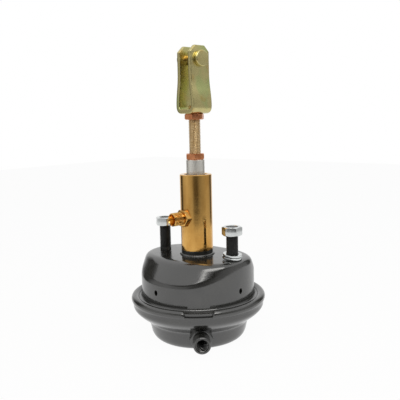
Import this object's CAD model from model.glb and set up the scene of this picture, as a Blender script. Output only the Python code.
import math

import bmesh
import bpy
import numpy as np
from bpy.props import FloatProperty, FloatVectorProperty, IntProperty, PointerProperty
from mathutils import Matrix, Vector


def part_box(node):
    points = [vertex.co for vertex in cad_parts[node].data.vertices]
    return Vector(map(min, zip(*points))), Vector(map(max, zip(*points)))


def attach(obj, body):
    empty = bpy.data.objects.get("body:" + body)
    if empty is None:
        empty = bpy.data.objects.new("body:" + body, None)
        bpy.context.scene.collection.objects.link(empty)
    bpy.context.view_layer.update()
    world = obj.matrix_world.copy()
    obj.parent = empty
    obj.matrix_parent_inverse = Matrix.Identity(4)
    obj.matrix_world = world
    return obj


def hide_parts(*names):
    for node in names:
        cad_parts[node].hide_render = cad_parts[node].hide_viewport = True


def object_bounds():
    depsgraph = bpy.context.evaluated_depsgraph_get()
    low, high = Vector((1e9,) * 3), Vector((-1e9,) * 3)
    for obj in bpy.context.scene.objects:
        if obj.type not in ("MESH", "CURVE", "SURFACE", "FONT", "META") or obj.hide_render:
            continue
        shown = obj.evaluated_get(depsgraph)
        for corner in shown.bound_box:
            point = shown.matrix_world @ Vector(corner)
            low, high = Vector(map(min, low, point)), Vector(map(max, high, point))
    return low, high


bl_info = {
    "name": "Air and hydraulic brake chamber",
    "version": (1, 0, 0),
    "blender": (4, 5, 0),
    "location": "View3D > Sidebar > Brake Chamber",
    "description": "Surfaces, finishes and studio for a combined air and hydraulic brake chamber",
    "category": "Object",
}

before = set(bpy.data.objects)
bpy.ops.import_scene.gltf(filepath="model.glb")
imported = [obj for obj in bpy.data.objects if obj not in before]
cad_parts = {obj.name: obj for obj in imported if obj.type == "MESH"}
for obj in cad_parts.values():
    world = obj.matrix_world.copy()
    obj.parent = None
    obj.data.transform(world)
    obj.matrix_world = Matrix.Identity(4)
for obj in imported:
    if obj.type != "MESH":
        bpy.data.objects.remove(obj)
CAD_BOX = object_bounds()
MM = 0.001
STUD_LOW, STUD_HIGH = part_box("mounting_studs")
STUD_X = STUD_HIGH.x - 0.008
ROD_LOW, ROD_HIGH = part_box("threaded_rod")
M16_FLATS = 24 * MM            # across the flats of an M16 nut
M16_BORE = 8.05 * MM           # radius of a nut's bore round its M16 thread
TUBE_R = 22 * MM               # outside of the cylinder tube
AIR_TURN, AIR_LEVEL = -48, -96.5 * MM      # air port: degrees from +X, height
OIL_TURN, OIL_LEVEL = -100, 52.5 * MM      # hydraulic adapter
PIN_TURN, PIN_LEVEL = -10, 264 * MM        # clevis pin


def linear(code):
    """An sRGB hex colour as linear red, green and blue."""
    values = np.array([int(code[i:i + 2], 16) for i in (1, 3, 5)]) / 255.0
    return tuple(np.where(values <= 0.04045, values / 12.92, ((values + 0.055) / 1.055) ** 2.4))


# ---------------------------------------------------------------- properties


class ThreadSizes(bpy.types.PropertyGroup):
    """Pitches and depths of the threads that show."""

    stud_pitch: FloatProperty(name="Stud thread pitch", default=0.0015, unit="LENGTH",
                              description="Distance between two thread crests on the M16 mounting studs")
    rod_pitch: FloatProperty(name="Rod thread pitch", default=0.002, unit="LENGTH",
                             description="Distance between two thread crests on the M16 rod")
    port_pitch: FloatProperty(
        name="Port thread pitch", default=0.0015, unit="LENGTH",
        description="Distance between two thread crests on the adapter nose and in the air port")


class EdgeSizes(bpy.types.PropertyGroup):
    """Roundings of the machined and sheared edges."""

    nut_edge: FloatProperty(name="Nut edge", default=0.0004, unit="LENGTH",
                            description="Rounding of a nut's edges")
    strap_edge: FloatProperty(name="Clevis strap edge", default=0.001, unit="LENGTH",
                              description="Rounding of the clevis strap's long edges")
    around: IntProperty(name="Steps around", default=96, min=24, max=192,
                        description="Points round a turned surface")


class FinishColours(bpy.types.PropertyGroup):
    """Colours of the coatings."""

    electrocoat: FloatVectorProperty(
        name="Black coat", subtype="COLOR", size=3, min=0, max=1, default=linear("#242422"),
        description="Black electrocoat of the housings")
    gold_zinc: FloatVectorProperty(
        name="Gold zinc", subtype="COLOR", size=3, min=0, max=1, default=linear("#d8a95f"),
        description="Bright yellow passivated zinc of the tube")
    olive_zinc: FloatVectorProperty(
        name="Olive zinc", subtype="COLOR", size=3, min=0, max=1, default=linear("#c4b982"),
        description="Olive passivated zinc of the clevis")
    copper_zinc: FloatVectorProperty(
        name="Copper-brown zinc", subtype="COLOR", size=3, min=0, max=1, default=linear("#cf8a60"),
        description="Brown passivated zinc of the thin nuts")
    bright_zinc: FloatVectorProperty(
        name="Bright zinc", subtype="COLOR", size=3, min=0, max=1, default=linear("#d2d5d4"),
        description="Clear passivated zinc of nuts and washers")
    hard_chrome: FloatVectorProperty(
        name="Hard chrome", subtype="COLOR", size=3, min=0, max=1, default=linear("#e2dfd7"),
        description="Satin hard chrome of the plunger")
    thread_tan: FloatVectorProperty(
        name="Tan thread", subtype="COLOR", size=3, min=0, max=1, default=linear("#cdb48a"),
        description="Dull yellow passivated thread of the rod")
    phosphate: FloatVectorProperty(
        name="Black phosphate", subtype="COLOR", size=3, min=0, max=1, default=linear("#1c1c1b"),
        description="Oiled black phosphate of the studs")


class StudioSettings(bpy.types.PropertyGroup):
    """Camera and lamps."""

    distance: FloatProperty(name="Camera distance", default=0.75, unit="LENGTH",
                            description="Level distance from the chamber's axis to the camera")
    height: FloatProperty(name="Camera height", default=0.1808, unit="LENGTH",
                          description="Camera height above the mounting face")
    azimuth: FloatProperty(name="Camera turn", default=math.radians(40), subtype="ANGLE",
                           description="Turn of the camera round the chamber from the -Y side")
    pitch: FloatProperty(name="Camera pitch", default=math.radians(8.05), subtype="ANGLE",
                         description="How far the camera looks down")
    yaw: FloatProperty(name="Camera yaw", default=math.radians(0.40), subtype="ANGLE",
                       description="How far the camera looks right of the chamber's axis")
    roll: FloatProperty(name="Camera roll", default=math.radians(-1.25), subtype="ANGLE",
                        description="Lean of the camera")
    lens: FloatProperty(name="Lens", default=49.437, description="Focal length in mm on a 36 mm wide sensor")
    side_lamps: FloatProperty(name="Side lamps", default=1.2,
                              description="Radiance of the two large soft boxes")


# ---------------------------------------------------------------- surfaces


def rounded(path, radius, steps=4):
    """A path whose inner corners are parabolas: (1-t)^2 A + 2t(1-t) C + t^2 B, where A and B lie
    at the rounding's reach before and after corner C. Points run along the first axis."""
    path = np.asarray(path, float)
    reach = np.broadcast_to(np.asarray(radius, float), (len(path),))
    t = np.linspace(0, 1, steps + 1).reshape((-1,) + (1,) * (path.ndim - 1))
    parts = [path[:1]]
    for i in range(1, len(path) - 1):
        corner = path[i]
        back, ahead = path[i - 1] - corner, path[i + 1] - corner
        back_length = np.linalg.norm(back, axis=-1, keepdims=True) + 1e-12
        ahead_length = np.linalg.norm(ahead, axis=-1, keepdims=True) + 1e-12
        a = corner + back * np.minimum(reach[i] / back_length, 0.48)
        b = corner + ahead * np.minimum(reach[i] / ahead_length, 0.48)
        parts.append((1 - t) ** 2 * a + 2 * t * (1 - t) * corner + t ** 2 * b)
    parts.append(path[-1:])
    return np.concatenate(parts)


def build(name, grid, material, body, closed_along=False, sharp=32.0):
    """A mesh over a grid of points (around, along, 3) in metres, closed round its first axis."""
    around, along = grid.shape[:2]
    i = np.arange(around)[:, None]
    j = np.arange(along if closed_along else along - 1)[None, :]
    ahead, up = (i + 1) % around, (j + 1) % along
    quads = np.stack(np.broadcast_arrays(i * along + j, ahead * along + j,
                                         ahead * along + up, i * along + up), -1)
    mesh = bpy.data.meshes.new(name)
    mesh.from_pydata(grid.reshape(-1, 3).tolist(), [], quads.reshape(-1, 4).tolist())
    work = bmesh.new()
    work.from_mesh(mesh)
    bmesh.ops.remove_doubles(work, verts=work.verts, dist=2e-6)
    bmesh.ops.dissolve_degenerate(work, edges=work.edges, dist=1e-7)
    bmesh.ops.recalc_face_normals(work, faces=work.faces)
    work.to_mesh(mesh)
    work.free()
    mesh.shade_smooth()
    mesh.set_sharp_from_angle(angle=math.radians(sharp))
    piece = bpy.data.objects.new(name, mesh)
    bpy.context.scene.collection.objects.link(piece)
    mesh.materials.append(material)
    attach(piece, body)
    return piece


def angles(count):
    """Evenly spaced angles round a full turn."""
    return np.arange(count) * 2 * np.pi / count


def lathe(profile, count):
    """Points r(s), z(s) turned round Z: (r cos a, r sin a, z). A profile may vary with a."""
    a = angles(count)[:, None]
    profile = np.asarray(profile, float)
    if profile.ndim == 2:
        profile = profile[:, None, :]
    r = profile[..., 0].T
    z = profile[..., 1].T
    r, z = np.broadcast_arrays(r + 0 * a, z + 0 * a)
    return np.stack([r * np.cos(a), r * np.sin(a), z], -1)


def thread_profile(outside, inside, low, high, pitch, count):
    """Rows (r, z) of a thread between two heights: r falls from the crest by a trapezium wave of
    z / pitch - a / 2 pi, faded out over half a pitch at each end."""
    rows = max(int((high - low) / pitch * 8), 8)
    z = np.linspace(low, high, rows)[:, None]
    a = angles(count)[None, :]
    phase = (z / pitch - a / (2 * np.pi)) % 1.0
    wave = np.clip(2.4 * np.abs(phase - 0.5) * 2 - 0.7, 0, 1)
    fade = np.clip((z - low) / pitch, 0, 1) * np.clip((high - z) / pitch, 0, 1)
    r = outside - (outside - inside) * wave * np.clip(fade * 2, 0, 1)
    return np.stack([r, z + 0 * a], -1)


def wide(rows, count):
    """Profile rows repeated for every angle."""
    rows = np.asarray(rows, float)
    return np.repeat(rows[:, None, :], count, axis=1)


def hexagon(flats, count):
    """Radius of a hexagon with eased corners: half the flats over cos of the angle from the flat."""
    off = np.abs((angles(count) % (np.pi / 3)) - np.pi / 6)
    return np.minimum(flats / 2 / np.cos(off), flats / np.sqrt(3) * 0.985)


def hex_rows(flats, low, high, edge, count, bore=0.0, foot=True):
    """Profile rows of a hexagon turned to a 30 degree chamfer: z falls by (r - face) tan 30."""
    corner = hexagon(flats, count)
    face = 0.955 * flats / 2
    drop = (corner - face) * np.tan(np.pi / 6)
    one = np.ones(count)
    rows = []
    if foot:
        rows += [np.stack([one * face, one * low], -1), np.stack([corner, low + drop], -1)]
    else:
        rows += [np.stack([corner, one * low], -1)]
    rows += [np.stack([corner, high - drop], -1), np.stack([one * face, one * high], -1)]
    rows = np.stack(rows)
    if bore:
        lead = 0.0006
        inner = wide([(bore, low + lead), (bore + lead, low)], count)
        outer = wide([(bore + lead, high), (bore, high - lead)], count)
        rows = np.concatenate([inner, rows, outer])
    return rounded(rows, edge, 2)


def placed(grid, matrix):
    """The grid's points carried by a 4x4 matrix."""
    m = np.array(matrix, float)
    return grid @ m[:3, :3].T + m[:3, 3]


def level_frame(turn, height, distance=0.0):
    """Frame whose Z is level at that angle from +X, starting at a distance from the axis."""
    a = math.radians(turn)
    z = Vector((math.cos(a), math.sin(a), 0))
    x = Vector((-math.sin(a), math.cos(a), 0))
    y = z.cross(x)
    m = Matrix((x, y, z)).transposed().to_4x4()
    m.translation = z * distance + Vector((0, 0, height))
    return m


def swept(path, section, across):
    """A section carried along a path in a plane: P(s) + n(s) u + across v, where n is the path's
    normal in that plane and (u, v) is the section, which may vary with s."""
    path = np.asarray(path, float)
    across = np.asarray(across, float)
    tangent = np.gradient(path, axis=0)
    tangent /= np.linalg.norm(tangent, axis=-1, keepdims=True) + 1e-12
    normal = np.cross(across, tangent)
    normal /= np.linalg.norm(normal, axis=-1, keepdims=True) + 1e-12
    u, v = section[..., 0], section[..., 1]
    return path[None] + normal[None] * u[..., None] + across * v[..., None]


def drilled(piece, holes):
    """Cuts round or upright oval holes; each is a frame along its axis, a radius, a stretch and a depth."""
    for matrix, radius, stretch, depth in holes:
        mesh = bpy.data.meshes.new("drill")
        work = bmesh.new()
        bmesh.ops.create_cone(work, cap_ends=True, segments=32, radius1=radius, radius2=radius, depth=depth)
        bmesh.ops.transform(work, matrix=matrix @ Matrix.Diagonal((1, stretch, 1, 1)), verts=work.verts)
        work.to_mesh(mesh)
        work.free()
        drill = bpy.data.objects.new("drill", mesh)
        bpy.context.scene.collection.objects.link(drill)
        cut = piece.modifiers.new("hole", "BOOLEAN")
        cut.object = drill
        cut.operation = "DIFFERENCE"
        cut.solver = "EXACT"
        result = bpy.data.meshes.new_from_object(piece.evaluated_get(bpy.context.evaluated_depsgraph_get()))
        piece.modifiers.clear()
        piece.data = result
        bpy.data.objects.remove(drill)
        bpy.data.meshes.remove(mesh)


def capped(grid):
    """The grid with a point added in the middle of each end, which closes a swept section."""
    middle = grid.mean(axis=0, keepdims=True)
    return np.concatenate([middle[:, :1] + 0 * grid[:, :1], grid, middle[:, -1:] + 0 * grid[:, -1:]], axis=1)


def resampled(path, count):
    """The path's points spaced evenly along its length."""
    path = np.asarray(path, float)
    run = np.concatenate([[0], np.cumsum(np.linalg.norm(np.diff(path, axis=0), axis=1))])
    s = np.linspace(0, run[-1], count)
    return np.stack([np.interp(s, run, path[:, k]) for k in range(path.shape[1])], -1), s, run[-1]


# ---------------------------------------------------------------- finishes


def add_node(tree, kind, links=None, **settings):
    """Adds a node with its settings; links gives each input its value or the socket it comes from."""
    made = tree.nodes.new(kind)
    for name, value in settings.items():
        setattr(made, name, value)
    for key, value in (links or {}).items():
        target = made.inputs[key]
        if isinstance(value, bpy.types.NodeSocket):
            tree.links.new(value, target)
        elif hasattr(value, "__len__") and len(value) == 3 and target.type == "RGBA":
            target.default_value = (*value, 1.0)
        else:
            target.default_value = value
    return made


def new_finish(name):
    """An empty node material, with its tree, its surface shader and its Object coordinates."""
    finish = bpy.data.materials.get(name)
    if finish:
        bpy.data.materials.remove(finish)
    finish = bpy.data.materials.new(name)
    finish.use_nodes = True
    tree = finish.node_tree
    tree.nodes.clear()
    shader = add_node(tree, "ShaderNodeBsdfPrincipled")
    output = add_node(tree, "ShaderNodeOutputMaterial", {"Surface": shader.outputs[0]})
    output.is_active_output = True
    place = add_node(tree, "ShaderNodeTexCoord").outputs["Object"]
    return finish, tree, shader, place


def noise_of(tree, place, millimetres, detail=2.0, stretch=(1, 1, 1)):
    """Noise whose blobs are about that many millimetres across on the object."""
    mapping = add_node(tree, "ShaderNodeMapping", {"Vector": place, "Scale": stretch})
    return add_node(tree, "ShaderNodeTexNoise", {"Vector": mapping.outputs[0], "Scale": 1000.0 / millimetres,
                                                 "Detail": detail}).outputs["Fac"]


def ramp(tree, value, low, high, out_low, out_high):
    """A value carried smoothly from one range to another and held at its ends."""
    return add_node(tree, "ShaderNodeMapRange", {"Value": value, "From Min": low, "From Max": high,
                                                 "To Min": out_low, "To Max": out_high},
                    interpolation_type="SMOOTHSTEP", clamp=True).outputs["Result"]


def mix(tree, fac, a, b):
    """Two colours mixed by a value."""
    made = add_node(tree, "ShaderNodeMix", {0: fac}, data_type="RGBA")
    for index, value in ((6, a), (7, b)):
        if isinstance(value, bpy.types.NodeSocket):
            tree.links.new(value, made.inputs[index])
        else:
            made.inputs[index].default_value = (*tuple(value)[:3], 1.0)
    return made.outputs[2]


def bump(tree, shader, height, distance, strength=1.0):
    """Relief of that depth in metres on the shader's normal."""
    relief = add_node(tree, "ShaderNodeBump", {"Height": height, "Distance": distance, "Strength": strength})
    tree.links.new(relief.outputs[0], shader.inputs["Normal"])


def colours():
    """The coatings' colours, as set in the sidebar."""
    return bpy.context.scene.brake_colours


def black_electrocoat():
    """Gloss electrocoat baked on pressed steel: near black, with orange peel, faint dust and rub marks."""
    finish, tree, shader, place = new_finish("black_electrocoat")
    dust = ramp(tree, noise_of(tree, place, 30, 4), 0.45, 0.75, 0.0, 0.5)
    coat = tuple(colours().electrocoat)
    tree.links.new(mix(tree, dust, coat, linear("#33322e")), shader.inputs["Base Color"])
    rough = ramp(tree, noise_of(tree, place, 12, 5), 0.3, 0.75, 0.12, 0.22)
    tree.links.new(rough, shader.inputs["Roughness"])
    shader.inputs["IOR"].default_value = 1.9
    bump(tree, shader, noise_of(tree, place, 2.2, 2), 0.00012, 0.35)
    return finish


def gold_zinc(name="gold_zinc", edge_of_paint=True):
    """Bright yellow passivated zinc on a polished tube: mirror-like, with faint drawing marks round it
    and cloudy amber tints. The black coat of the plate laps up its foot in a ragged line."""
    finish, tree, shader, place = new_finish(name)
    gold = tuple(colours().gold_zinc)
    cloud = ramp(tree, noise_of(tree, place, 14, 3, (1, 1, 0.35)), 0.35, 0.7, 0.0, 0.8)
    tint = mix(tree, cloud, gold, linear("#bb8a45"))
    marks = noise_of(tree, place, 1.2, 2, (0.12, 0.12, 1.6))
    rough = ramp(tree, marks, 0.3, 0.7, 0.10, 0.17)
    if edge_of_paint:
        height = add_node(tree, "ShaderNodeSeparateXYZ", {0: place}).outputs["Z"]
        ragged = noise_of(tree, place, 3.5, 3)
        line = add_node(tree, "ShaderNodeMath", {0: ragged, 1: 0.0022, 2: height}, operation="MULTIPLY_ADD")
        bare = ramp(tree, line.outputs[0], 0.0080, 0.0084, 0.0, 1.0)
        tint = mix(tree, bare, tuple(colours().electrocoat), tint)
        tree.links.new(bare, shader.inputs["Metallic"])
    else:
        shader.inputs["Metallic"].default_value = 1.0
    tree.links.new(tint, shader.inputs["Base Color"])
    tree.links.new(rough, shader.inputs["Roughness"])
    bump(tree, shader, marks, 0.00002, 0.25)
    return finish


def olive_zinc():
    """Olive passivated zinc on pressed strap: satin metal with patches of green and amber bloom."""
    finish, tree, shader, place = new_finish("olive_zinc")
    bloom = noise_of(tree, place, 26, 2)
    green = ramp(tree, bloom, 0.48, 0.66, 0.0, 0.7)
    amber = ramp(tree, noise_of(tree, place, 17, 3), 0.55, 0.75, 0.0, 0.6)
    tint = mix(tree, green, tuple(colours().olive_zinc), linear("#abb87a"))
    tint = mix(tree, amber, tint, linear("#be9d5a"))
    tree.links.new(tint, shader.inputs["Base Color"])
    shader.inputs["Metallic"].default_value = 1.0
    tree.links.new(ramp(tree, noise_of(tree, place, 6, 4), 0.3, 0.7, 0.22, 0.36), shader.inputs["Roughness"])
    bump(tree, shader, noise_of(tree, place, 1.5, 3), 0.00003, 0.3)
    return finish


def plain_metal(name, colour, rough_low, rough_high, grain=3.0, dark=None, share=0.5):
    """Plated or turned steel: one colour with darker bloom, and a grain that changes its gloss."""
    finish, tree, shader, place = new_finish(name)
    bloom = ramp(tree, noise_of(tree, place, 3 * grain, 3), 0.4, 0.7, 0.0, share)
    tree.links.new(mix(tree, bloom, colour, dark or tuple(0.6 * c for c in colour)),
                   shader.inputs["Base Color"])
    shader.inputs["Metallic"].default_value = 1.0
    tree.links.new(ramp(tree, noise_of(tree, place, grain, 4), 0.3, 0.7, rough_low, rough_high),
                   shader.inputs["Roughness"])
    bump(tree, shader, noise_of(tree, place, 0.8 * grain, 2), 0.00002, 0.3)
    return finish


def satin_chrome():
    """Ground hard chrome: pale satin metal with fine grinding marks round the plunger."""
    finish, tree, shader, place = new_finish("satin_hard_chrome")
    marks = noise_of(tree, place, 1.0, 3, (0.1, 0.1, 2.0))
    chrome = tuple(colours().hard_chrome)
    tree.links.new(mix(tree, ramp(tree, marks, 0.35, 0.7, 0.0, 0.5), chrome, tuple(0.8 * c for c in chrome)),
                   shader.inputs["Base Color"])
    shader.inputs["Metallic"].default_value = 1.0
    tree.links.new(ramp(tree, marks, 0.3, 0.7, 0.36, 0.5), shader.inputs["Roughness"])
    bump(tree, shader, marks, 0.00003, 0.4)
    return finish


def black_phosphate():
    """Oiled black phosphate on rolled threads: dull black with a thin oily sheen."""
    finish, tree, shader, place = new_finish("oiled_black_phosphate")
    worn = ramp(tree, noise_of(tree, place, 2.5, 4), 0.5, 0.75, 0.0, 0.6)
    tree.links.new(mix(tree, worn, tuple(colours().phosphate), linear("#3a3a37")),
                   shader.inputs["Base Color"])
    tree.links.new(ramp(tree, noise_of(tree, place, 1.5, 3), 0.3, 0.7, 0.35, 0.55),
                   shader.inputs["Roughness"])
    bump(tree, shader, noise_of(tree, place, 0.6, 2), 0.00003, 0.3)
    return finish


def moulded_rubber():
    """Moulded black rubber: matt, with a faint cloth print."""
    finish, tree, shader, place = new_finish("moulded_rubber")
    bloom = ramp(tree, noise_of(tree, place, 8, 3), 0.4, 0.7, 0.0, 0.6)
    tree.links.new(mix(tree, bloom, linear("#1d1d1d"), linear("#2b2b2a")), shader.inputs["Base Color"])
    shader.inputs["Roughness"].default_value = 0.62
    bump(tree, shader, noise_of(tree, place, 0.9, 2), 0.00004, 0.4)
    return finish


def dress(names, finish):
    """Gives CAD nodes a finish through their own material slots."""
    for name in names:
        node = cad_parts[name]
        if not node.material_slots:
            node.data.materials.append(finish)
        for material_slot in node.material_slots:
            material_slot.material = finish


# ---------------------------------------------------------------- pieces


class BRAKE_OT_housings(bpy.types.Operator):
    """Pressed housings with their black coat, and the weld at the tube's foot"""

    bl_idname = "brake_chamber.housings"
    bl_label = "Housings"

    def execute(self, context):
        coat = black_electrocoat()
        dress(["air_port_boss"], coat)
        self.crown(context, coat)
        self.cup(context, coat)
        sizes = context.scene.brake_edges
        a = angles(sizes.around * 2)
        t = np.linspace(0, np.pi / 2, 7)[:, None]
        # Weld ripples: the bead's section radius grows and shrinks along the seam.
        bead = (2.1 + 0.12 * np.sin(58 * a) + 0.1 * np.sin(3 * a))[None, :] * MM
        r = TUBE_R + bead * np.cos(t)
        z = bead * np.sin(t)
        inner = np.stack([np.full_like(r[:1], 21.9 * MM), r[:1] * 0], -1)
        crown = np.stack([np.full_like(r[:1], 21.9 * MM), z[-1:]], -1)
        rows = np.concatenate([inner, np.stack([r, z], -1), crown, inner])
        weld = build("tube_foot_weld", lathe(rows, len(a)), coat, "housing")
        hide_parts("tube_weld")
        return {"FINISHED"}

    def crown(self, context, coat):
        """Upper shell turned round Z: a flat plate whose outline is the superellipse
        |x / A|^n + |y / B|^n = 1, a shoulder down to the wall, and the clamped flange. The shoulder's
        depth is sqrt(D0^2 + (D1 sin 1.3 a)^2): D0 at the studs, a little over D1 between them."""
        count = context.scene.brake_edges.around * 4
        a = angles(count)
        one = np.ones(count)
        half_length, half_width, power = 75.5, 53.5, 2.6
        plate = (np.abs(np.cos(a) / half_length) ** power
                 + np.abs(np.sin(a) / half_width) ** power) ** (-1 / power)
        from_x = np.arcsin(np.abs(np.sin(a)))
        depth = np.sqrt(5.5 ** 2 + (24.8 * np.sin(np.minimum(1.3 * from_x, np.pi / 2))) ** 2)
        wall, sheet, flange, flange_top = 78.5, 3.0, 89.4, -57
        outer = [(0 * one, 0 * one), (plate, 0 * one), (wall * one, -depth), (wall * one, flange_top * one),
                 (flange * one, flange_top * one), (flange * one, -59.9 * one)]
        inner = [((wall - sheet) * one, -59.9 * one), ((wall - sheet) * one, -depth - sheet),
                 (plate - 2, -sheet * one), (0 * one, -sheet * one)]
        outer = rounded(np.array([np.stack(row, -1) for row in outer]), [0, 9, 5, 4, 0.3, 0], 8)
        inner = rounded(np.array([np.stack(row, -1) for row in inner]), [0, 5, 9, 0], 4)
        rows = np.concatenate([outer, inner]) * MM
        shell = build("mounting_shell", lathe(rows, count), coat, "housing",
                      closed_along=True)
        drains = [level_frame(-5 + 90 * k, -39 * MM, wall * MM) for k in range(4)]
        drilled(shell, [(drain, 2.9 * MM, 1.3, 12 * MM) for drain in drains])
        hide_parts("upper_housing")

    def cup(self, context, coat):
        """Pressure cup turned round Z. Its rim is a bead, the circle c + R (cos t, sin t), that sinks
        into the wall's edge across the notch: P(a) = edge + w(a) (bead - edge), w a smooth step."""
        count = context.scene.brake_edges.around * 4
        wall = 0.2
        t = np.radians(np.linspace(156, -52, 26))
        bead = [np.stack([87.8 + radius * np.cos(t), -59.4 + radius * np.sin(t)], -1)
                for radius in (5.7, 5.7 - wall)]
        low = rounded([(91.2, -64.2), (91.2, -71.3), (86.0, -77.4), (69.6, -90.4), (64.1, -116.4),
                       (0, -116.4)], [0, 5, 7, 3.5, 13, 0], 8)
        slope = np.gradient(low, axis=0)
        slope /= np.linalg.norm(slope, axis=1, keepdims=True)
        inside = low + wall * np.stack([slope[:, 1], -slope[:, 0]], -1)
        inside[-1, 0] = 0
        edge = []
        for gap in (0, wall):
            corners = np.array([(89.7, -61.6 - gap), (91.2 - gap, -61.6 - gap), (91.2 - gap, -64.2)])
            edge.append(resampled(corners, len(t))[0])
        a = angles(count)
        off = (a + math.radians(50) + np.pi) % (2 * np.pi) - np.pi
        w = np.clip((np.abs(off) * 91 - 17.6) / 3.2, 0, 1)
        w = np.sqrt(1 - (1 - w) ** 2)[None, :, None]
        rims = [low_edge[:, None] + w * (arc - low_edge)[:, None] for arc, low_edge in zip(bead, edge)]
        rows = np.concatenate([rims[0], wide(low, count), wide(inside[::-1], count), rims[1][::-1]]) * MM
        cup = build("pressure_cup", lathe(rows, count), coat, "housing", closed_along=True)
        drilled(cup, [(level_frame(AIR_TURN, AIR_LEVEL, 68 * MM), 5.0 * MM, 1.0, 12 * MM)])
        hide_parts("lower_housing")


class BRAKE_OT_tube(bpy.types.Operator):
    """Finishes of the cylinder tube, the plunger, its seals and the parts inside the housings"""

    bl_idname = "brake_chamber.tube"
    bl_label = "Tube and plunger"

    def execute(self, context):
        dress(["cylinder_tube"], gold_zinc())
        dress(["plunger"], satin_chrome())
        dress(["circlip", "return_spring"],
              plain_metal("phosphated_spring_steel", linear("#4a4a4c"), 0.35, 0.5))
        dress(["guide_bush"], plain_metal("turned_bronze", linear("#c59a58"), 0.25, 0.4))
        dress(["bottom_gland", "push_plate", "push_rod"],
              plain_metal("turned_steel", linear("#b9b8b5"), 0.25, 0.42))
        dress(["diaphragm", "gland_rod_seal", "gland_o_ring", "plunger_seal", "wiper_ring"], moulded_rubber())
        return {"FINISHED"}


class BRAKE_OT_studs(bpy.types.Operator):
    """Threaded mounting studs with their nuts and washers"""

    bl_idname = "brake_chamber.studs"
    bl_label = "Studs, nuts and washers"

    def execute(self, context):
        sizes, threads = context.scene.brake_edges, context.scene.brake_threads
        count = sizes.around
        phosphate = black_phosphate()
        zinc = plain_metal("clear_passivated_zinc", tuple(colours().bright_zinc), 0.15, 0.24, 4.0,
                           linear("#c6c8c7"), 0.4)
        top, low = STUD_HIGH.z, STUD_LOW.z
        for name, side in (("near", 1), ("far", -1)):
            head = wide([(0, low), (9.0 * MM, low), (9.4 * MM, low + 0.4 * MM), (9.4 * MM, -3.05 * MM),
                         (8 * MM, -3.05 * MM), (8 * MM, 1.5 * MM)], count)
            flat_limit = 3.4 * MM
            a = angles(count) + (0 if side > 0 else np.pi)
            reach = np.where(np.cos(a) > 1e-6, flat_limit / np.maximum(np.cos(a), 1e-6), 1.0)
            head[:4, :, 0] = np.minimum(head[:4, :, 0], reach)
            body = thread_profile(8 * MM, 7.08 * MM, 1.5 * MM, top - 1.2 * MM, threads.stud_pitch, count)
            end = wide([(6.7 * MM, top), (0, top)], count)
            rows = np.concatenate([head, body, end])
            grid = placed(lathe(rows, count), Matrix.Translation((side * STUD_X, 0, 0)))
            stud = build(f"mounting_stud_{name}", grid, phosphate, "housing", sharp=50)
            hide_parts("mounting_studs")
            nut_top = (44.2 if side > 0 else 46.0) * MM
            rows = hex_rows(M16_FLATS, nut_top - 12 * MM, nut_top, sizes.nut_edge, count, M16_BORE)
            corner = math.radians(30 if side > 0 else 23)
            turn = Matrix.Translation((side * STUD_X, 0, 0)) @ Matrix.Rotation(corner, 4, "Z")
            nut = build(f"stud_nut_{name}", placed(lathe(rows, count), turn), zinc, "housing",
                        closed_along=True)
            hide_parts("stud_nuts")
        ring = rounded(wide([(8.6 * MM, 0.1 * MM), (13.1 * MM, 0.02 * MM), (13.2 * MM, 2.9 * MM),
                             (8.3 * MM, 3.0 * MM), (8.3 * MM, 0.1 * MM), (8.6 * MM, 0.1 * MM)], count),
                       0.5 * MM, 3)
        # The two washers hang on the stud, lower towards the plate's end.
        self.hang = (Matrix.Translation((STUD_X, 0, 1.27 * MM)) @ Matrix.Translation((0, 0, 3 * MM))
                     @ Matrix.Rotation(math.radians(5.5), 4, "Y") @ Matrix.Translation((0, 0, -3 * MM)))
        washer = build("plain_washer", placed(lathe(ring, count), self.hang), zinc, "housing",
                       closed_along=True)
        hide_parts("flat_washer")
        self.spring_ring(zinc)
        return {"FINISHED"}

    def spring_ring(self, zinc):
        """Split ring of rectangular wire, carried round most of a turn; it climbs 0.5 mm in a full one."""
        a = np.linspace(math.radians(64), math.radians(64 + 350), 120)
        wire = rounded([(8.4, 3.1), (12.6, 3.1), (12.6, 6.1), (8.4, 6.1), (8.4, 3.1), (12.6, 3.1)],
                       0.5, 3)[1:-1]
        r, z = wire[:, 0][:, None] * MM, wire[:, 1][:, None] * MM
        climb = (a - a[0]) / (2 * np.pi) * 0.5 * MM
        grid = np.stack([r * np.cos(a), r * np.sin(a), z + climb], -1)
        ring = build("split_spring_washer", placed(capped(grid), self.hang), zinc, "housing")
        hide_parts("spring_washer")


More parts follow.
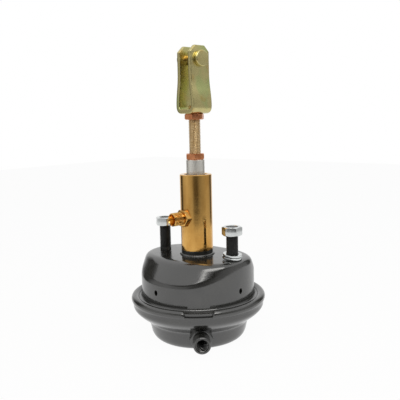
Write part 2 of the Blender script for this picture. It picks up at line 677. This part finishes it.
class BRAKE_OT_adapter(bpy.types.Operator):
    """Threaded adapter welded to the side of the tube"""

    bl_idname = "brake_chamber.adapter"
    bl_label = "Hydraulic adapter"

    def execute(self, context):
        sizes, threads = context.scene.brake_edges, context.scene.brake_threads
        count = sizes.around
        gold = gold_zinc("gold_zinc_turned", edge_of_paint=False)
        hex_high, mouth = 27.2 * MM, 43.5 * MM
        a = angles(count)
        spigot = wide([(6.0 * MM, 18.6 * MM), (6.0 * MM, 20 * MM)], count)
        outside = hex_rows(22 * MM, 20 * MM, hex_high, sizes.nut_edge, count, foot=False)
        # Saddle: both rows at the hexagon's foot end on the tube, at z = sqrt(R^2 - x^2).
        spigot[1, :, 1] = np.sqrt(TUBE_R ** 2 - (spigot[1, :, 0] * np.cos(a)) ** 2)
        outside[0, :, 1] = np.sqrt(TUBE_R ** 2 - (outside[0, :, 0] * np.cos(a)) ** 2)
        neck = wide([(8.2 * MM, hex_high), (8.2 * MM, hex_high + 1.6 * MM)], count)
        nose = thread_profile(9 * MM, 8.3 * MM, hex_high + 2.4 * MM, mouth - 1.0 * MM,
                              threads.port_pitch, count)
        lip = wide([(8.0 * MM, mouth), (7.6 * MM, mouth - 0.05 * MM), (3.0 * MM, mouth - 10.8 * MM),
                    (3.0 * MM, 18.6 * MM), (6.0 * MM, 18.6 * MM)], count)
        rows = np.concatenate([spigot, outside, neck, nose, lip])
        grid = placed(lathe(rows, count), level_frame(OIL_TURN, OIL_LEVEL))
        adapter = build("male_adapter", grid, gold, "housing", closed_along=True)
        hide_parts("hydraulic_adapter")
        return {"FINISHED"}


class BRAKE_OT_air_port(bpy.types.Operator):
    """Air port socket with its inside thread"""

    bl_idname = "brake_chamber.air_port"
    bl_label = "Air port"

    def execute(self, context):
        sizes, threads = context.scene.brake_edges, context.scene.brake_threads
        count = sizes.around
        foot, shoulder, mouth = 66.0 * MM, 77 * MM, 96 * MM
        outside = hex_rows(27 * MM, foot, shoulder, 0.8 * MM, count, foot=False)
        nose = rounded(wide([(11.3 * MM, shoulder), (11.3 * MM, mouth - 1.2 * MM), (10.2 * MM, mouth),
                             (8.7 * MM, mouth), (8.0 * MM, mouth - 1.2 * MM)], count), 0.5 * MM, 3)
        thread = thread_profile(8.0 * MM, 7.2 * MM, 74 * MM, mouth - 1.4 * MM,
                                threads.port_pitch, count)[::-1]
        inner = wide([(7.2 * MM, 73.9 * MM), (5.0 * MM, 73.9 * MM), (5.0 * MM, foot)], count)
        rows = np.concatenate([outside, nose, thread, inner])
        grid = placed(lathe(rows, count), level_frame(AIR_TURN, AIR_LEVEL))
        port = build("air_port_socket", grid, bpy.data.materials["black_electrocoat"], "housing",
                     closed_along=True)
        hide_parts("air_port_boss")
        return {"FINISHED"}


class BRAKE_OT_rod(bpy.types.Operator):
    """Threaded rod and the two thin lock nuts"""

    bl_idname = "brake_chamber.rod"
    bl_label = "Threaded rod and lock nuts"

    def execute(self, context):
        sizes, threads = context.scene.brake_edges, context.scene.brake_threads
        count = sizes.around
        tan = plain_metal("tan_passivated_thread", tuple(colours().thread_tan), 0.4, 0.56, 2.0,
                          linear("#b89b6c"), 0.6)
        copper = plain_metal("brown_passivated_zinc", tuple(colours().copper_zinc), 0.22, 0.36, 2.5,
                             linear("#a05a34"), 0.5)
        low, high = ROD_LOW.z, ROD_HIGH.z
        rows = np.concatenate([
            wide([(0, low), (6.8 * MM, low)], count),
            thread_profile(8 * MM, 7.3 * MM, low + 1.2 * MM, high - 1.2 * MM, threads.rod_pitch, count),
            wide([(6.8 * MM, high), (0, high)], count)])
        rod = build("clevis_rod_thread", lathe(rows, count), tan, "plunger_body", sharp=50)
        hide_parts("threaded_rod")
        for name, foot, corner, node in (("plunger_lock_nut", 131.0, 10.5, "rod_lock_nut"),
                                         ("clevis_foot_nut", 184.5, -1.5, "clevis_lock_nut")):
            rows = hex_rows(M16_FLATS, foot * MM, (foot + 8) * MM, sizes.nut_edge, count, M16_BORE)
            grid = placed(lathe(rows, count), Matrix.Rotation(math.radians(corner), 4, "Z"))
            nut = build(name, grid, copper, "plunger_body", closed_along=True)
            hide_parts(node)
        return {"FINISHED"}


class BRAKE_OT_clevis(bpy.types.Operator):
    """Bent clevis strap, its pin, washer and split pin"""

    bl_idname = "brake_chamber.clevis"
    bl_label = "Clevis"

    def execute(self, context):
        self.count = context.scene.brake_edges.around
        self.olive = olive_zinc()
        self.turn = Matrix.Rotation(math.radians(PIN_TURN), 4, "Z")
        self.strap(context)
        self.pin()
        self.split_pin()
        return {"FINISHED"}

    def strap(self, context):
        """The strap's section, a rounded rectangle, carried along the U of its middle surface. Its
        width narrows by the distance to the end over the last 8 mm, which cuts the ear's corners."""
        foot, top = 195.5, 281.0
        half = [(0, foot), (15.5, foot), (15.5, 211.0), (11.25, 236.0), (11.25, top)]
        left = [(-x, z) for x, z in half[:0:-1]]
        corners = np.array([(x, 0, z) for x, z in left + half], float) * MM
        path = rounded(corners, [0, 12 * MM, 12 * MM, 9 * MM, 0.1 * MM, 9 * MM, 12 * MM, 12 * MM, 0], 10)
        path, s, length = resampled(path, 260)
        end = np.minimum(s, length - s)
        edge = context.scene.brake_edges.strap_edge
        half_width = 16 * MM - np.clip(8 * MM - end, 0, 8 * MM)
        ease = np.clip(end / (0.8 * MM), 0, 1)
        thick = (3 * MM - edge) + edge * np.sqrt(1 - (1 - ease) ** 2)
        corner = np.array([(-1, -1), (1, -1), (1, 1), (-1, 1)], float)
        t = np.linspace(0, np.pi / 2, 6)
        arcs = []
        for k, (cu, cv) in enumerate(corner):
            turn = t + np.pi * (1 + k * 0.5)
            arcs.append(np.stack([np.full_like(turn, cu), np.full_like(turn, cv),
                                  np.cos(turn), np.sin(turn)], -1))
        arcs = np.concatenate(arcs)
        u = arcs[:, 0:1] * (thick - edge) + arcs[:, 2:3] * edge
        v = arcs[:, 1:2] * (half_width - edge) + arcs[:, 3:4] * edge
        grid = capped(swept(path, np.stack([u, v], -1), (0, 1, 0)))
        piece = build("clevis_strap", placed(grid, self.turn), self.olive, "plunger_body")
        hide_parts("clevis_fork")

    def along_pin(self, rows, name, node):
        """Profile rows (r, distance along the pin) turned round the pin's axis."""
        rows = rounded(wide(np.array(rows, float) * MM, self.count), 0.45 * MM, 3)
        grid = placed(lathe(rows, self.count), level_frame(PIN_TURN, PIN_LEVEL))
        piece = build(name, grid, self.olive, "clevis_pin_body",
                      closed_along=name != "clevis_headed_pin")
        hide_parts(node)

    def pin(self):
        """Headed pin and its washer as turned profiles."""
        self.along_pin([(0, 19.85), (9.6, 19.85), (10.5, 18.95), (10.5, 14.55), (7, 14.55), (7, -24.4),
                        (6.1, -25.25), (0, -25.25)], "clevis_headed_pin", "clevis_pin")
        self.along_pin([(10.5, -14.55), (14, -14.55), (14, -17.05), (7.3, -17.05), (7.3, -14.55),
                        (10.5, -14.55)], "clevis_pin_washer", "pin_washer")

    def split_pin(self):
        """Bent wire as a tube: P(s) + r (n cos b + m sin b) along the eye, the shank and a bent leg."""
        wire = 0.8 * MM
        eye_radius = 3.3
        b = angles(16)[:, None]
        x = -18.95
        bright = plain_metal("bright_zinc_wire", tuple(colours().bright_zinc), 0.25, 0.4)
        for name, side in (("left", -1), ("right", 1)):
            turn = np.linspace(0.16 * np.pi, 1.0 * np.pi, 24)
            eye_y = side * eye_radius * np.sin(turn)
            eye_z = 252.0 + eye_radius * np.cos(turn)
            line = np.concatenate([
                np.stack([np.full_like(turn, x), eye_y, eye_z], -1)[::-1],
                [(x, side * 0.8, 256.2), (x, side * 0.8, 272.6), (x, side * 3.2, 275.2),
                 (x, side * 6.2, 276.6)]])
            line, _, _ = resampled(line * MM, 90)
            tangent = np.gradient(line, axis=0)
            tangent /= np.linalg.norm(tangent, axis=1, keepdims=True)
            across = np.array([1.0, 0, 0])
            second = np.cross(across, tangent)
            grid = line[None] + wire * (np.cos(b)[..., None] * across + np.sin(b)[..., None] * second[None])
            leg = build(f"split_pin_{name}", placed(capped(grid), self.turn), bright,
                        "clevis_pin_body")
            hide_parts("split_pin")


# ---------------------------------------------------------------- stage


class BRAKE_OT_stage(bpy.types.Operator):
    """Floor, lamps, world and camera"""

    bl_idname = "brake_chamber.stage"
    bl_label = "Stage"

    def execute(self, context):
        self.floor()
        self.world(context)
        self.surround(context)
        self.lamps(context)
        self.camera(context)
        context.scene.view_settings.view_transform = "Standard"
        return {"FINISHED"}

    def floor(self):
        """A square sheet at the housing's foot: nearly white to camera and mirror rays, and it keeps
        the object's shadow."""
        floor_level = CAD_BOX[0][2] - 0.0002
        mesh = bpy.data.meshes.new("floor")
        corners = np.array([(-1, -1, 0), (1, -1, 0), (1, 1, 0), (-1, 1, 0)], float) * 3
        corners[:, 2] = floor_level
        mesh.from_pydata(corners.tolist(), [], [(0, 1, 2, 3)])
        sheet = bpy.data.objects.new("floor", mesh)
        bpy.context.scene.collection.objects.link(sheet)
        finish = bpy.data.materials.new("white_paper")
        finish.use_nodes = True
        tree = finish.node_tree
        tree.nodes.clear()
        paper = add_node(tree, "ShaderNodeBsdfDiffuse", {"Color": linear("#f7f7f7")})
        white = add_node(tree, "ShaderNodeEmission", {"Color": (1, 1, 1), "Strength": 1.0})
        rays = add_node(tree, "ShaderNodeLightPath")
        seen = add_node(tree, "ShaderNodeMath", {0: rays.outputs["Is Camera Ray"],
                                                 1: rays.outputs["Is Glossy Ray"]}, operation="MAXIMUM")
        seen = add_node(tree, "ShaderNodeMath", {0: seen.outputs[0], 1: rays.outputs["Is Transmission Ray"]},
                        operation="MAXIMUM")
        share = add_node(tree, "ShaderNodeMath", {0: seen.outputs[0], 1: 0.96}, operation="MULTIPLY")
        mixed = add_node(tree, "ShaderNodeMixShader", {0: share.outputs[0], 1: paper.outputs[0],
                                                       2: white.outputs[0]})
        add_node(tree, "ShaderNodeOutputMaterial", {"Surface": mixed.outputs[0]})
        mesh.materials.append(finish)

    def world(self, context):
        """White all round for camera and mirror rays, dimmer for the light that it gives."""
        world = bpy.data.worlds.new("studio")
        context.scene.world = world
        world.use_nodes = True
        tree = world.node_tree
        tree.nodes.clear()
        rays = add_node(tree, "ShaderNodeLightPath")
        seen = add_node(tree, "ShaderNodeMath", {0: rays.outputs["Is Camera Ray"],
                                                 1: rays.outputs["Is Transmission Ray"]}, operation="MAXIMUM")
        glossy = add_node(tree, "ShaderNodeMath", {0: seen.outputs[0], 1: rays.outputs["Is Glossy Ray"]},
                          operation="MAXIMUM")
        light = add_node(tree, "ShaderNodeBackground", {"Color": linear("#f4f4f2"), "Strength": 0.35})
        white = add_node(tree, "ShaderNodeBackground", {"Color": (1, 1, 1), "Strength": 1.0})
        mixed = add_node(tree, "ShaderNodeMixShader", {0: glossy.outputs[0], 1: light.outputs[0],
                                                       2: white.outputs[0]})
        add_node(tree, "ShaderNodeOutputWorld", {"Surface": mixed.outputs[0]})

    def surround(self, context):
        """A curved wall standing on the floor, seen in mirrors only: pale soft boxes left and right,
        dark flags between them and behind the camera, and open to the white background at the back."""
        studio = context.scene.brake_studio
        count, far, tall = 73, 0.85, 0.62
        a = studio.azimuth - math.pi / 2 + np.radians(np.linspace(-146, 146, count))
        low = CAD_BOX[0][2]
        foot = np.stack([far * np.cos(a), far * np.sin(a), np.full(count, low)], -1)
        points = np.concatenate([foot, foot + np.array([0, 0, tall])])
        faces = [(i, i + 1, count + i + 1, count + i) for i in range(count - 1)]
        mesh = bpy.data.meshes.new("surround")
        mesh.from_pydata(points.tolist(), [], faces)
        wall = bpy.data.objects.new("surround", mesh)
        context.scene.collection.objects.link(wall)
        finish = bpy.data.materials.new("flags_and_boxes")
        finish.use_nodes = True
        tree = finish.node_tree
        tree.nodes.clear()
        place = add_node(tree, "ShaderNodeTexCoord").outputs["Object"]
        turned = add_node(tree, "ShaderNodeVectorRotate",
                          {"Vector": place, "Angle": math.pi / 2 - studio.azimuth}, rotation_type="Z_AXIS")
        apart = add_node(tree, "ShaderNodeSeparateXYZ", {0: turned.outputs[0]})
        round_it = add_node(tree, "ShaderNodeMath", {0: apart.outputs["Y"], 1: apart.outputs["X"]},
                            operation="ARCTAN2")
        share = add_node(tree, "ShaderNodeMapRange", {"Value": round_it.outputs[0], "From Min": -math.pi,
                                                      "From Max": math.pi})
        stops = add_node(tree, "ShaderNodeValToRGB", {"Fac": share.outputs["Result"]})
        levels = ((-146, 0.9), (-137, 0.5), (-129, 0.05), (-114, 0.08), (-98, 0.58), (-62, 0.72), (-28, 0.48),
                  (-12, 0.16), (8, 0.12), (26, 0.3), (50, 0.42), (80, 0.56), (108, 0.5), (120, 0.1),
                  (130, 0.05), (138, 0.5), (146, 0.9))
        bars = stops.color_ramp.elements
        while len(bars) < len(levels):
            bars.new(0.5)
        for bar, (turn, level) in zip(bars, levels):
            bar.position = (turn + 180) / 360
        for bar, (turn, level) in zip(bars, levels):
            bar.color = (level, level, level, 1)
        aside = add_node(tree, "ShaderNodeMath", {0: round_it.outputs[0]}, operation="ABSOLUTE")
        high = ramp(tree, aside.outputs[0], math.radians(38), math.radians(75), 0.12, 0.95)
        fall = ramp(tree, apart.outputs["Z"], 0.22, 0.34, 1.0, high)
        glow = add_node(tree, "ShaderNodeEmission", {"Color": stops.outputs["Color"], "Strength": fall})
        add_node(tree, "ShaderNodeOutputMaterial", {"Surface": glow.outputs[0]})
        mesh.materials.append(finish)
        for rays in ("camera", "diffuse", "transmission", "volume_scatter", "shadow"):
            setattr(wall, f"visible_{rays}", False)

    def lamps(self, context):
        """Two large soft boxes left and right, which mirrors don't show, and a top box, which they do."""
        studio = context.scene.brake_studio
        boxes = (("left_box", -62, 0.35, 1.15, (0.9, 1.3), studio.side_lamps),
                 ("right_box", 66, 0.35, 1.15, (0.9, 1.3), studio.side_lamps),
                 ("top_box", 10, 0.95, 0.8, (1.0, 0.5), 3.4))
        for name, turn, height, distance, size, radiance in boxes:
            lamp = bpy.data.lights.new(name, "AREA")
            lamp.shape = "RECTANGLE"
            lamp.size, lamp.size_y = size
            lamp.energy = radiance * math.pi * size[0] * size[1]
            lamp.color = linear("#fffdf8")
            holder = bpy.data.objects.new(name, lamp)
            context.scene.collection.objects.link(holder)
            a = studio.azimuth + math.radians(turn)
            holder.location = (distance * math.sin(a), -distance * math.cos(a), height)
            aim = Vector((0, 0, 0.06)) - holder.location
            holder.rotation_euler = aim.to_track_quat("-Z", "Y").to_euler()
            holder.visible_glossy = name == "top_box"

    def camera(self, context):
        """Camera at its level distance and height, looking down by its pitch."""
        studio = context.scene.brake_studio
        lens = bpy.data.cameras.new("camera")
        lens.sensor_width = 36.0
        lens.lens = studio.lens
        lens.clip_start = 0.01
        camera = bpy.data.objects.new("camera", lens)
        context.scene.collection.objects.link(camera)
        yaw, pitch, roll = studio.yaw, studio.pitch, studio.roll
        forward = Vector((math.sin(yaw) * math.cos(pitch), math.cos(yaw) * math.cos(pitch), -math.sin(pitch)))
        right = Vector((math.cos(yaw), -math.sin(yaw), 0))
        up = right.cross(forward)
        right, up = (right * math.cos(roll) + up * math.sin(roll),
                     up * math.cos(roll) - right * math.sin(roll))
        turn = Matrix.Rotation(studio.azimuth, 3, "Z")
        axes = Matrix((turn @ right, turn @ up, turn @ -forward)).transposed().to_4x4()
        axes.translation = turn @ Vector((0, -studio.distance, studio.height))
        camera.matrix_world = axes
        context.scene.camera = camera


class VIEW3D_PT_brake_chamber(bpy.types.Panel):
    """Lists the chamber's groups of pieces"""

    bl_label = "Brake chamber"
    bl_space_type = "VIEW_3D"
    bl_region_type = "UI"
    bl_category = "Brake Chamber"

    def draw(self, context):
        for operator in OPERATORS:
            self.layout.operator(operator.bl_idname)
        for group in ("brake_threads", "brake_edges", "brake_colours", "brake_studio"):
            box = self.layout.box()
            values = getattr(context.scene, group)
            for name in values.__annotations__:
                box.prop(values, name)


OPERATORS = (BRAKE_OT_stage, BRAKE_OT_housings, BRAKE_OT_tube, BRAKE_OT_studs, BRAKE_OT_adapter,
             BRAKE_OT_air_port, BRAKE_OT_rod, BRAKE_OT_clevis)
GROUPS = {"brake_threads": ThreadSizes, "brake_edges": EdgeSizes, "brake_colours": FinishColours,
          "brake_studio": StudioSettings}


def register():
    for kind in (*GROUPS.values(), *OPERATORS, VIEW3D_PT_brake_chamber):
        bpy.utils.register_class(kind)
    for name, kind in GROUPS.items():
        setattr(bpy.types.Scene, name, PointerProperty(type=kind))


def unregister():
    for name in GROUPS:
        delattr(bpy.types.Scene, name)
    for kind in (VIEW3D_PT_brake_chamber, *OPERATORS, *GROUPS.values()):
        bpy.utils.unregister_class(kind)


def main():
    register()
    for operator in OPERATORS:
        category, name = operator.bl_idname.split(".")
        getattr(getattr(bpy.ops, category), name)()


if __name__ == "__main__":
    main()
